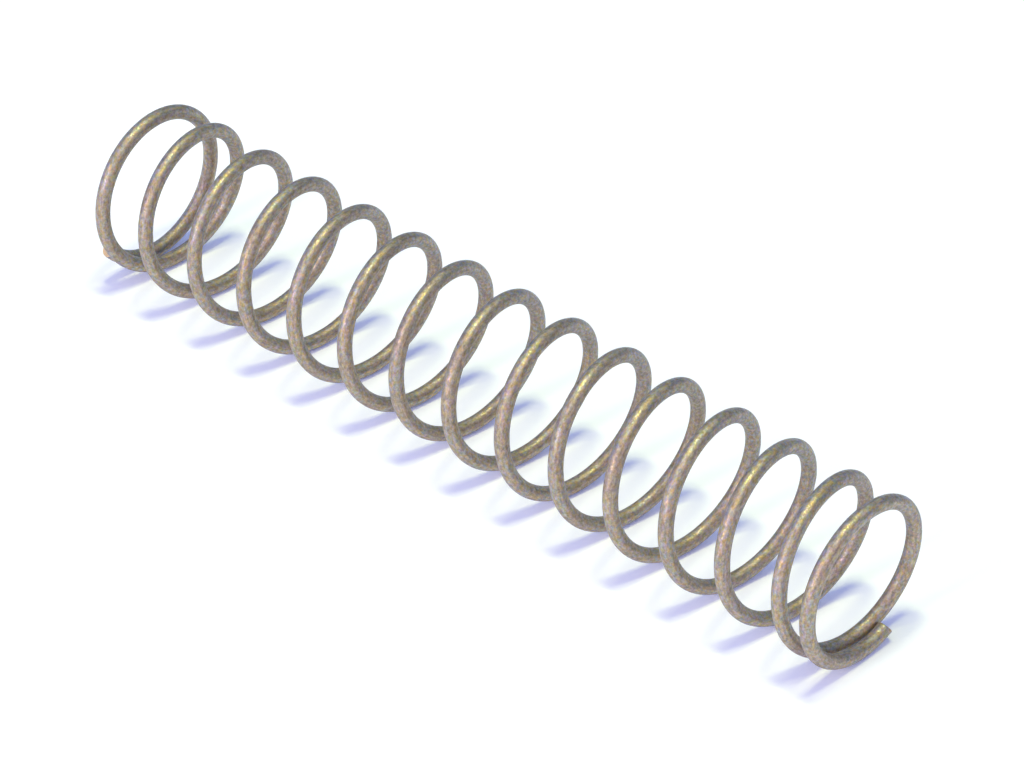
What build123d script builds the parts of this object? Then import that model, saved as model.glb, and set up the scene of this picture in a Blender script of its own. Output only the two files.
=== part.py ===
from build123d import *
import os
from math import copysign, cos, pi, radians, sin, tan

# Compression spring, coiled right-handed from one length of round wire.
# The axis is +X and the origin lies on it at mid-length. The spring lies on its side,
# with both cut ends low, which is how it settles on a table.
# Both ends are closed: the last coil draws in to its neighbour. Neither end is ground.

wire_diameter = 0.6
outer_diameter = 7.0
free_length = 38.0          # overall, over the wire of both end coils
total_turns = 15.225
right_tip_angle = 206.2     # degrees round the axis from the top, by way of the front (-Y)
seat_turns = 0.14           # at each end this much wire lies square to the axis
opening_turns = 1.4         # over which the pitch then rises to that of the active coils
shear_angle = 9.0           # lean of the cut faces from square across the wire
tip_turns = 0.08            # each end of the wire that the shear shapes
pieces_per_turn = 4         # each quarter turn of the centre line is one cubic curve

wire_radius = wire_diameter / 2
coil_radius = (outer_diameter - wire_diameter) / 2
half_turns = total_turns / 2
half_axis = (free_length - wire_diameter) / 2
closed_turns = seat_turns + opening_turns / 2
active_pitch = half_axis / (half_turns - closed_turns)


def opened_share(turns):
    """How far the coil has opened, from 0 on the seat to 1, at a number of turns from its tip."""
    opened = min(max((turns - seat_turns) / opening_turns, 0.0), 1.0)
    return 3 * opened ** 2 - 2 * opened ** 3


def pitch(turns):
    return active_pitch * opened_share(turns)


def advance(turns):
    """Distance along the axis from the tip: the pitch added up over the turns since."""
    opened = max((turns - seat_turns) / opening_turns, 0.0)
    gained = opened ** 3 - opened ** 4 / 2 if opened < 1 else opened - 0.5
    return active_pitch * opening_turns * gained


def angle_at(turn):
    return radians(right_tip_angle) + 2 * pi * (turn - half_turns)


def wire_point(turn):
    """Centre of the wire, with turn counted from mid-length towards the right-hand end."""
    along = copysign(half_axis - advance(half_turns - abs(turn)), turn)
    angle = angle_at(turn)
    return Vector(along, -coil_radius * sin(angle), coil_radius * cos(angle))


def wire_slope(turn):
    """How the centre of the wire moves for each radian round the axis."""
    angle = angle_at(turn)
    rise = pitch(half_turns - abs(turn)) / (2 * pi)
    return Vector(rise, -coil_radius * cos(angle), -coil_radius * sin(angle))


def centre_line(start, end):
    """Cubic curves end to end, each with the handles that best fit a circular arc."""
    count = max(1, round((end - start) * pieces_per_turn))
    stops = [start + (end - start) * i / count for i in range(count + 1)]
    handle = 4 / 3 * tan(pi / 2 * (end - start) / count)
    curves = []
    for first, last in zip(stops, stops[1:]):
        leaving = wire_point(first) + wire_slope(first) * handle
        arriving = wire_point(last) - wire_slope(last) * handle
        curves.append(Edge.make_bezier(wire_point(first), leaving, arriving, wire_point(last)))
    return Wire(curves)


def wire_between(start, end):
    path = centre_line(start, end)
    section = Plane(origin=path @ 0, z_dir=path % 0) * Circle(wire_radius)
    return sweep(section, path=path, is_frenet=True)


def sheared_tip(side):
    """Short end of the wire. One cut parts each spring from the next, so both faces lean one way."""
    tip = side * half_turns
    inner, outer = tip - side * tip_turns, tip + side * tip_turns
    stock = wire_between(min(inner, outer), max(inner, outer))
    outward = wire_slope(tip) * side
    cut = Plane(origin=wire_point(tip), z_dir=outward.rotate(Axis.X, shear_angle))
    return split(stock, bisect_by=cut, keep=Keep.BOTTOM)


coils = wire_between(tip_turns - half_turns, half_turns - tip_turns)
spring = coils + sheared_tip(-1) + sheared_tip(1)
spring.label = "compression_spring"

tip_gap = advance(1.0) - wire_diameter
print("active pitch", round(active_pitch, 3), "gap at the tips", round(tip_gap, 3))
print("solids", len(spring.solids()), "faces", len(spring.faces()), "valid", spring.is_valid)
print("volume", round(spring.volume, 2), "box", spring.bounding_box().size)

os.makedirs("parts", exist_ok=True)
export_step(spring, "parts/compression_spring.step")
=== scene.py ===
import bpy
import numpy as np
from mathutils import Matrix, Vector


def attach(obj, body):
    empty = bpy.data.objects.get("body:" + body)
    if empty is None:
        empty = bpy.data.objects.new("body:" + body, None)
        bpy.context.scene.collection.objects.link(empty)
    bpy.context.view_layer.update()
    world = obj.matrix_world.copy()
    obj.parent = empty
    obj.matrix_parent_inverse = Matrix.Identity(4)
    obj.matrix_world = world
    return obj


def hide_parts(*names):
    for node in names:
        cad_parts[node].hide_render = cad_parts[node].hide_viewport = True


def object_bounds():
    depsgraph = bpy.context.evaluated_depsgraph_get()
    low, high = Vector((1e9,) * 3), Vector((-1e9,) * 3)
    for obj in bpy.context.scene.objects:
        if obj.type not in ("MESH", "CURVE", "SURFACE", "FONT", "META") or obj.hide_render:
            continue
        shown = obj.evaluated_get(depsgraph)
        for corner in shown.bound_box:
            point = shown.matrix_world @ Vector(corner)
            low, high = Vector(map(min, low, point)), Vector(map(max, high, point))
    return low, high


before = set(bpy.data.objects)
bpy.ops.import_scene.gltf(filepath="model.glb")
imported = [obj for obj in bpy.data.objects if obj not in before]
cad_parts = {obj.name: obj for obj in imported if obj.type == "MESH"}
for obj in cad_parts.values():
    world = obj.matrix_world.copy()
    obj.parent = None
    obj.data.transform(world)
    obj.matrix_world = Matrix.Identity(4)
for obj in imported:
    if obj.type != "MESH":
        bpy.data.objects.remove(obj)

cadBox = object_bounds()
boxLow, boxHigh = np.array(cadBox[0]), np.array(cadBox[1])

# one length of round wire, coiled right-handed round X, closed at both ends and not ground; in metres
springSizes = {
    "wireDiameter": 0.0006,
    "totalTurns": 15.225,
    "rightTipAngle": 206.2,     # degrees round the axis from the top, by way of the front
    "seatTurns": 0.14,          # at each end this much wire lies square to the axis
    "openingTurns": 1.4,        # the pitch then rises to that of the active coils
    "shearAngle": 9.0,          # degrees that the cut faces lean
    "leanFade": 0.00025,        # the lean of the cut dies away over this length of wire
    "edgeRound": 0.00004,       # how far back the cut's edge is rolled over
    # from the wire to the middle of the cut: share of the wire's radius, and how many edge roundings ahead
    "cutProfile": [
        (1.0, -7.5), (1.0, -4.5), (1.0, -2.2), (0.999, -1.4), (0.992, -0.75), (0.975, -0.3), (0.945, -0.05),
        (0.91, 0.0), (0.86, -0.05), (0.7, -0.18), (0.5, -0.3), (0.3, -0.36), (0.12, -0.38)],
    "burr": 0.000012,           # height of the lip left where the shear blade came out
    "burrPlace": 0.93,          # share of the wire's radius at which the lip stands
    "burrWidth": 0.05,
    "cutFrom": 0.985,           # fresh metal shows inside this share of the radius
    "cutBlend": 0.03,           # and is full this much further in
    "plainFrom": 0.02,          # turns in from each tip at which the plain rings start
    "stationsPerTurn": 120,
    "sides": 40,
    "grainStretch": 1.6,        # drawn grain is this much longer along the wire than across it
}

wireRadius = springSizes["wireDiameter"] / 2
coilRadius = (boxHigh[2] - boxLow[2]) / 2 - wireRadius
turnLength = 2 * np.pi * coilRadius
halfTurns = springSizes["totalTurns"] / 2
halfAxis = (boxHigh[0] - boxLow[0]) / 2 - wireRadius
closedTurns = springSizes["seatTurns"] + springSizes["openingTurns"] / 2
activePitch = halfAxis / (halfTurns - closedTurns)
around = 2 * np.pi * np.arange(springSizes["sides"]) / springSizes["sides"]


def advance(turnsFromTip):
    # the pitch opens as 3 s squared minus 2 s cubed, so its sum is s cubed minus half of s to the fourth
    opened = np.maximum((turnsFromTip - springSizes["seatTurns"]) / springSizes["openingTurns"], 0)
    gained = np.where(opened < 1, opened ** 3 - opened ** 4 / 2, opened - 0.5)
    return activePitch * springSizes["openingTurns"] * gained


def centreLine(turn):
    # turn counts from mid-length: a circle of the coil radius round X, moved along X by the pitch so far
    along = np.sign(turn) * (halfAxis - advance(halfTurns - np.abs(turn)))
    angle = np.radians(springSizes["rightTipAngle"]) + 2 * np.pi * (turn - halfTurns)
    return np.stack([along, -coilRadius * np.sin(angle), coilRadius * np.cos(angle)], axis=-1)


def unit(vectors):
    # each vector divided by its own length
    return vectors / np.linalg.norm(vectors, axis=-1, keepdims=True)


def wireFrame(turn):
    # the direction is the chord between two close turns; outward is the radius from the axis, squared up to
    # it; sideways is the cross product of the two
    step = 1e-4
    centre = centreLine(turn)
    following = centreLine(np.minimum(turn + step, halfTurns))
    direction = unit(following - centreLine(np.maximum(turn - step, -halfTurns)))
    outward = unit(centre * np.array([0, 1, 1]))
    outward = unit(outward - direction * np.sum(outward * direction, axis=-1, keepdims=True))
    return centre, direction, outward, np.cross(direction, outward)


def wireRings(turn, share=1.0, ahead=0.0):
    # a circle round the centre line at each turn: outward times the cosine plus sideways times the sine,
    # times a share of the wire's radius, and the whole moved ahead along the wire
    centre, direction, outward, sideways = wireFrame(turn)
    middle = centre + direction * np.asarray(ahead)[..., None]
    outwardPart = outward * (np.cos(around) * share * wireRadius)[..., None]
    sidewaysPart = sideways * (np.sin(around) * share * wireRadius)[..., None]
    return middle + outwardPart + sidewaysPart


def cutRings(side):
    # rings over the rolled edge and in to the middle of the cut; the cut leans as the cosine round the wire,
    # and the lip is a bell curve across the face times a raised cosine, cubed, round it
    share, roundings = np.array(springSizes["cutProfile"]).T[:, :, None]
    beyond = roundings * springSizes["edgeRound"]
    lean = np.tan(np.radians(springSizes["shearAngle"])) * wireRadius
    fade = np.clip(1 + beyond / springSizes["leanFade"], 0, 1)
    bell = np.exp(-((share - springSizes["burrPlace"]) / springSizes["burrWidth"]) ** 2)
    lip = springSizes["burr"] * bell * (0.5 - 0.5 * np.cos(around)) ** 3
    past = beyond + lean * (side * np.cos(around) * share * fade - 1) + lip
    # the centre line ends at the tip, so rings set back follow it and the rest go straight ahead
    turn = side * (halfTurns + np.minimum(past, 0) / turnLength)
    return wireRings(turn, share, side * np.maximum(past, 0))


def makeMesh(name, points, faces, uvs=None):
    # a smooth mesh at the origin, with a map of the wire where one is given
    mesh = bpy.data.meshes.new(name)
    mesh.from_pydata(points.tolist(), [], faces)
    if uvs is not None:
        layer = mesh.uv_layers.new(name="wireUv")
        layer.data.foreach_set("uv", uvs.astype(np.float32).ravel())
    mesh.polygons.foreach_set("use_smooth", np.ones(len(mesh.polygons), dtype=bool))
    mesh.validate()
    mesh.update()
    made = bpy.data.objects.new(name, mesh)
    bpy.context.scene.collection.objects.link(made)
    return made


def markPoints(made, name, kind, field, values):
    # keeps a value or a vector on each point, for the finish to read
    mark = made.data.attributes.new(name, kind, "POINT")
    mark.data.foreach_set(field, values.astype(np.float32).ravel())


def buildSpring():
    # the wire's rings from tip to tip, each joined to the next by quads, with a fan of triangles to close
    # the middle of each cut face
    sides = springSizes["sides"]
    plainEnd = halfTurns - springSizes["plainFrom"]
    stations = int(springSizes["totalTurns"] * springSizes["stationsPerTurn"])
    plainTurns = np.linspace(-plainEnd, plainEnd, stations)
    rings = np.concatenate([cutRings(-1)[::-1], wireRings(plainTurns[:, None]), cutRings(1)])
    middles = np.stack([rings[0].mean(axis=0), rings[-1].mean(axis=0)])
    points = np.concatenate([rings.reshape(-1, 3), middles])

    count = len(rings)
    row, column = np.meshgrid(np.arange(count - 1), np.arange(sides), indexing="ij")
    nextColumn = (column + 1) % sides
    corners = [row * sides + column, row * sides + nextColumn,
               (row + 1) * sides + nextColumn, (row + 1) * sides + column]
    quads = np.stack(corners, axis=-1).reshape(-1, 4)
    first = np.arange(sides)
    second = (first + 1) % sides
    lastRing = (count - 1) * sides
    leftFan = np.stack([np.full(sides, count * sides), second, first], axis=-1)
    rightFan = np.stack([np.full(sides, count * sides + 1), lastRing + first, lastRing + second], axis=-1)

    # u is the distance along the wire in lengths of one turn, v the share of the way round it
    steps = np.linalg.norm(np.diff(rings.mean(axis=1), axis=0), axis=-1)
    alongWire = np.concatenate([[0], np.cumsum(steps)])
    ringU = alongWire / turnLength
    quadU = np.stack([ringU[row], ringU[row], ringU[row + 1], ringU[row + 1]], axis=-1)
    quadV = np.stack([column, column + 1, column + 1, column], axis=-1) / sides
    fanU = np.repeat([ringU[0], ringU[-1]], sides * 3)
    quadUvs = np.stack([quadU, quadV], axis=-1).reshape(-1, 2)
    fanUvs = np.stack([fanU, np.zeros(len(fanU))], axis=-1)
    made = makeMesh("spring_wire_coils", points, quads.tolist() + leftFan.tolist() + rightFan.tolist(),
                    np.concatenate([quadUvs, fanUvs]))

    # 1 on the cut faces and 0 along the drawn wire, changing over on the rolled edge
    share = np.array(springSizes["cutProfile"])[:, 0]
    cutShare = np.clip((springSizes["cutFrom"] - share) / springSizes["cutBlend"], 0, 1)
    cutFace = np.zeros((count, sides))
    cutFace[:len(share)] = cutShare[::-1, None]
    cutFace[-len(share):] = cutShare[:, None]
    markPoints(made, "cutFace", "FLOAT", "value", np.concatenate([cutFace.ravel(), [1, 1]]))

    # where each point lies on the straightened wire, shortened along it so that the grains come out long
    straight = np.zeros((count, sides, 3))
    straight[..., 0] = (alongWire / springSizes["grainStretch"])[:, None]
    straight[..., 1] = np.cos(around) * wireRadius
    straight[..., 2] = np.sin(around) * wireRadius
    straightMiddles = straight[[0, -1], 0] * np.array([1, 0, 0])
    wirePlace = np.concatenate([straight.reshape(-1, 3), straightMiddles])
    markPoints(made, "wirePlace", "FLOAT_VECTOR", "vector", wirePlace)
    return made


def node(tree, kind, place=(0, 0), **settings):
    made = tree.nodes.new(kind)
    made.location = place
    for key, value in settings.items():
        setattr(made, key, value)
    return made


def wireFinish():
    # bronze under grey, reddish and greenish tarnish, in grains that run long along the drawn wire
    look = {
        "golden": (0.50, 0.385, 0.13, 1),       # bare bronze between the tarnish
        "dull": (0.35, 0.345, 0.52, 1),         # greyish tarnish
        "hueScale": 9500,                       # patches of the two are about a tenth of a millimetre
        "hueDetail": 2.0,
        "hueRange": (0.34, 0.66),               # a narrower range parts them more sharply
        "copper": (0.54, 0.325, 0.24, 1),       # reddish tarnish
        "olive": (0.34, 0.415, 0.31, 1),        # greenish tarnish
        "patinaScale": 7000,
        "patinaDetail": 2.0,
        "patinaRange": (0.38, 0.62),
        "patinaAside": (0.031, 0.017, 0.023),   # read a little way off, so that it doesn't follow the grey
        "patinaShare": 0.4,
        "brown": (0.41, 0.31, 0.245, 1),        # long brown stains
        "stainScale": 700,
        "stainDetail": 2.0,
        "stainRange": (0.45, 0.72),
        "stainShare": 0.6,
        "grainScale": 9200,                     # fine grain that lightens, darkens and roughens
        "grainDetail": 2.5,
        "grainRange": (0.2, 0.8),
        "grainShade": (0.58, 1.42),
        "grainHeight": 0.0000024,
        "lineStretch": (14, 24, 1),             # drawing lines: long along the wire, fine across it
        "lineDetail": 2.0,
        "lineRange": (0.3, 0.7),
        "lineShade": (0.9, 1.1),
        "cutColour": (0.78, 0.57, 0.33, 1),     # fresh metal on the sheared faces
        "pitScale": 15000,                      # matte pits between smoother tops, too fine to be told apart
        "pitDetail": 1.0,
        "pitRange": (0.36, 0.54),
        "pitRoughness": (0.46, 0.68),           # of the tops and of the pits
        "filmWeight": 0.2,                      # thin clear film of oil
        "filmRoughness": 0.25,
        "edgeTint": (0.55, 0.68, 1.0, 1),       # tarnish keeps the edges dull and bluish
        "patternRoughness": 0.55,               # how strongly the finer levels of every pattern count
    }
    material = bpy.data.materials.new("drawnBronzeWire")
    material.use_nodes = True
    tree = material.node_tree
    tree.nodes.clear()
    link = tree.links.new
    output = node(tree, "ShaderNodeOutputMaterial", (1500, 0))
    shader = node(tree, "ShaderNodeBsdfPrincipled", (1200, 0))
    shader.inputs["Metallic"].default_value = 1.0
    shader.inputs["Coat Weight"].default_value = look["filmWeight"]
    shader.inputs["Coat Roughness"].default_value = look["filmRoughness"]
    shader.inputs["Specular Tint"].default_value = look["edgeTint"]
    link(shader.outputs["BSDF"], output.inputs["Surface"])
    onWire = node(tree, "ShaderNodeAttribute", (-1500, 0), attribute_name="wirePlace").outputs["Vector"]
    onSpring = node(tree, "ShaderNodeTexCoord", (-1500, -200)).outputs["Object"]
    onWireMap = node(tree, "ShaderNodeUVMap", (-1500, -400), uv_map="wireUv").outputs["UV"]

    def mapped(source, setting, value, at):
        made = node(tree, "ShaderNodeMapping", at)
        made.inputs[setting].default_value = value
        link(source, made.inputs["Vector"])
        return made.outputs["Vector"]

    def noise(source, scale, detail, at):
        made = node(tree, "ShaderNodeTexNoise", at)
        made.inputs["Scale"].default_value = scale
        made.inputs["Detail"].default_value = detail
        made.inputs["Roughness"].default_value = look["patternRoughness"]
        link(source, made.inputs["Vector"])
        return made.outputs["Fac"]

    def spread(value, fromRange, toRange, at):
        made = node(tree, "ShaderNodeMapRange", at)
        for socket, number in zip(("From Min", "From Max", "To Min", "To Max"), fromRange + toRange):
            made.inputs[socket].default_value = number
        link(value, made.inputs["Value"])
        return made.outputs["Result"]

    def mixColour(share, first, second, at, kind="MIX"):
        made = node(tree, "ShaderNodeMix", at, data_type="RGBA", blend_type=kind)
        for value, socket in ((share, made.inputs[0]), (first, made.inputs[6]), (second, made.inputs[7])):
            if isinstance(value, (tuple, float)):
                socket.default_value = value
            else:
                link(value, socket)
        return made.outputs[2]

    hue = noise(onWire, look["hueScale"], look["hueDetail"], (-1100, 150))
    goldenShare = spread(hue, look["hueRange"], (0, 1), (-850, 150))
    tone = mixColour(goldenShare, look["dull"], look["golden"], (-600, 200))

    patina = noise(mapped(onWire, "Location", look["patinaAside"], (-1300, -250)),
                   look["patinaScale"], look["patinaDetail"], (-1100, -250))
    copperShare = spread(patina, look["patinaRange"], (0, 1), (-850, -250))
    tarnish = mixColour(copperShare, look["olive"], look["copper"], (-600, -150))
    tone = mixColour(look["patinaShare"], tone, tarnish, (-500, 150))

    stain = noise(onSpring, look["stainScale"], look["stainDetail"], (-1100, -100))
    brownShare = spread(stain, look["stainRange"], (0, look["stainShare"]), (-850, -100))
    tone = mixColour(brownShare, tone, look["brown"], (-400, 100))

    grain = noise(onWire, look["grainScale"], look["grainDetail"], (-1100, 400))
    lines = noise(mapped(onWireMap, "Scale", look["lineStretch"], (-1300, -400)),
                  1.0, look["lineDetail"], (-1100, -400))
    shade = node(tree, "ShaderNodeMath", (-600, 400), operation="MULTIPLY")
    link(spread(grain, look["grainRange"], look["grainShade"], (-850, 400)), shade.inputs[0])
    link(spread(lines, look["lineRange"], look["lineShade"], (-850, -400)), shade.inputs[1])
    tone = mixColour(1.0, tone, shade.outputs[0], (-200, 200), "MULTIPLY")

    cutFace = node(tree, "ShaderNodeAttribute", (-600, -600), attribute_name="cutFace")
    tone = mixColour(cutFace.outputs["Fac"], tone, look["cutColour"], (0, 200))
    link(tone, shader.inputs["Base Color"])

    pits = noise(onSpring, look["pitScale"], look["pitDetail"], (-1100, 600))
    link(spread(pits, look["pitRange"], look["pitRoughness"], (-200, -100)), shader.inputs["Roughness"])
    bump = node(tree, "ShaderNodeBump", (900, -300))
    bump.inputs["Distance"].default_value = look["grainHeight"]
    bump.inputs["Strength"].default_value = 1.0
    link(grain, bump.inputs["Height"])
    link(bump.outputs["Normal"], shader.inputs["Normal"])
    return material


spring = buildSpring()
spring.data.materials.append(wireFinish())
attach(spring, "root")
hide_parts("compression_spring")
print("spring built:", len(spring.data.polygons), "faces")

roomSizes = {
    "floorWidth": 3.0,
    "floorPaint": (0.91, 0.91, 0.91, 1),
    "floorGlow": (0.05, 0.08, 0.215, 1),        # keeps the floor white and its shadows pale lavender
    "skyColour": (0.19, 0.28, 0.47, 1),
    # parts of the room that glow: azimuth from the front towards +X and elevation in degrees, and colour
    "glows": [
        (20, 20, (0.80, 0.53, 0.42, 1)),
        (-40, 20, (0.0, 0.08, 0.42, 1)),
    ],
}


def directionOf(azimuth, elevation):
    # degrees round from the front towards +X, and degrees up, as a unit vector
    turned, raised = np.radians([azimuth, elevation])
    return Vector((np.sin(turned) * np.cos(raised), -np.cos(turned) * np.cos(raised), np.sin(raised)))


def seenDirectly(tree):
    # 1 for rays from the camera, off a shiny surface or through glass, 0 for the rays that light things
    path = node(tree, "ShaderNodeLightPath", (-800, 300))
    cameraOrGlossy = node(tree, "ShaderNodeMath", (-600, 300), operation="MAXIMUM")
    tree.links.new(path.outputs["Is Camera Ray"], cameraOrGlossy.inputs[0])
    tree.links.new(path.outputs["Is Glossy Ray"], cameraOrGlossy.inputs[1])
    anyOfThem = node(tree, "ShaderNodeMath", (-400, 300), operation="MAXIMUM")
    tree.links.new(cameraOrGlossy.outputs[0], anyOfThem.inputs[0])
    tree.links.new(path.outputs["Is Transmission Ray"], anyOfThem.inputs[1])
    return anyOfThem.outputs[0]


def addedLight(tree, first, second, place):
    # the sum of two shaders
    total = node(tree, "ShaderNodeAddShader", place)
    tree.links.new(first, total.inputs[0])
    tree.links.new(second, total.inputs[1])
    return total.outputs[0]


def buildFloor():
    # one square, level with the bottoms of the coils
    half = roomSizes["floorWidth"] / 2
    ground = boxLow[2]
    corners = [(-half, -half), (half, -half), (half, half), (-half, half)]
    points = np.array([(x, y, ground) for x, y in corners])
    floor = makeMesh("paleFloor", points, [[0, 1, 2, 3]])
    material = bpy.data.materials.new("whiteTable")
    material.use_nodes = True
    tree = material.node_tree
    tree.nodes.clear()
    output = node(tree, "ShaderNodeOutputMaterial", (600, 0))
    paint = node(tree, "ShaderNodeBsdfDiffuse", (0, 0))
    paint.inputs["Color"].default_value = roomSizes["floorPaint"]
    glow = node(tree, "ShaderNodeEmission", (0, -200))
    glow.inputs["Color"].default_value = roomSizes["floorGlow"]
    tree.links.new(seenDirectly(tree), glow.inputs["Strength"])
    tree.links.new(addedLight(tree, paint.outputs[0], glow.outputs[0], (300, 0)), output.inputs["Surface"])
    floor.data.materials.append(material)


def buildWorld():
    # an even sky, plus glows that each fall off with the cosine of the angle from their direction
    world = bpy.data.worlds.new("paleRoom")
    bpy.context.scene.world = world
    world.use_nodes = True
    tree = world.node_tree
    tree.nodes.clear()
    output = node(tree, "ShaderNodeOutputWorld", (900, 0))
    place = node(tree, "ShaderNodeTexCoord", (-900, 0))
    sky = node(tree, "ShaderNodeBackground", (-200, -200))
    sky.inputs["Color"].default_value = roomSizes["skyColour"]
    total = sky.outputs[0]
    for count, (azimuth, elevation, colour) in enumerate(roomSizes["glows"]):
        high = 250 * count
        cosine = node(tree, "ShaderNodeVectorMath", (-700, high), operation="DOT_PRODUCT")
        cosine.inputs[1].default_value = directionOf(azimuth, elevation)
        tree.links.new(place.outputs["Generated"], cosine.inputs[0])
        share = node(tree, "ShaderNodeMath", (-500, high), operation="MAXIMUM")
        share.inputs[1].default_value = 0
        tree.links.new(cosine.outputs["Value"], share.inputs[0])
        glow = node(tree, "ShaderNodeBackground", (-200, high))
        glow.inputs["Color"].default_value = colour
        tree.links.new(share.outputs[0], glow.inputs["Strength"])
        total = addedLight(tree, total, glow.outputs[0], (100 + 200 * count, 0))
    tree.links.new(total, output.inputs["Surface"])


# flat lamps that face the spring: width is level and along X, lengths are in metres
roomLamps = [
    {"name": "overheadLamp", "direction": (-0.03, 0.0, 1.0), "distance": 0.5,
     "width": 0.08, "height": 0.06, "watts": 0.83, "colour": (1.0, 1.07, 0.40)},
    {"name": "secondOverheadLamp", "direction": (0.145, 0.04, 1.0), "distance": 0.5,
     "width": 0.05, "height": 0.12, "watts": 0.65, "colour": (1.0, 1.07, 0.40)},
    {"name": "frontWindow", "direction": (-0.064, -0.908, 0.415), "distance": 0.5,
     "width": 0.10, "height": 0.16, "watts": 0.84, "colour": (1.0, 0.90, 0.75)},
]


def addLamp(name, direction, distance, width, height, watts, colour):
    # a panel that stands off along its direction and faces back to the spring
    lamp = bpy.data.lights.new(name, "AREA")
    lamp.shape = "RECTANGLE"
    lamp.size = width
    lamp.size_y = height
    lamp.energy = watts
    lamp.color = colour
    holder = bpy.data.objects.new(name, lamp)
    towards = Vector(direction).normalized()
    levelSide = (Vector((1, 0, 0)) - towards * towards.x).normalized()
    holder.location = towards * distance
    holder.rotation_euler = Matrix((levelSide, towards.cross(levelSide), towards)).transposed().to_euler()
    bpy.context.scene.collection.objects.link(holder)


cameraSettings = {
    "azimuth": 43.075,          # degrees round from the front (-Y) towards +X
    "elevation": 36.866,
    "distance": 0.20962,
    "lens": 191.93,             # lens and sensor are in millimetres
    "sensorWidth": 36,
    "nearest": 0.01,
    "aim": (0.000809, 0.000279, -0.000465),
}


def buildCamera():
    # looks back at the aim from the distance along the azimuth and elevation
    back = directionOf(cameraSettings["azimuth"], cameraSettings["elevation"])
    data = bpy.data.cameras.new("camera")
    data.lens = cameraSettings["lens"]
    data.sensor_width = cameraSettings["sensorWidth"]
    data.clip_start = cameraSettings["nearest"]
    holder = bpy.data.objects.new("camera", data)
    holder.location = Vector(cameraSettings["aim"]) + back * cameraSettings["distance"]
    holder.rotation_euler = back.to_track_quat("Z", "Y").to_euler()
    bpy.context.scene.collection.objects.link(holder)
    bpy.context.scene.camera = holder


buildFloor()
buildWorld()
for lamp in roomLamps:
    addLamp(**lamp)
buildCamera()
bpy.context.scene.view_settings.view_transform = "Standard"
print("floor, lamps and camera placed")
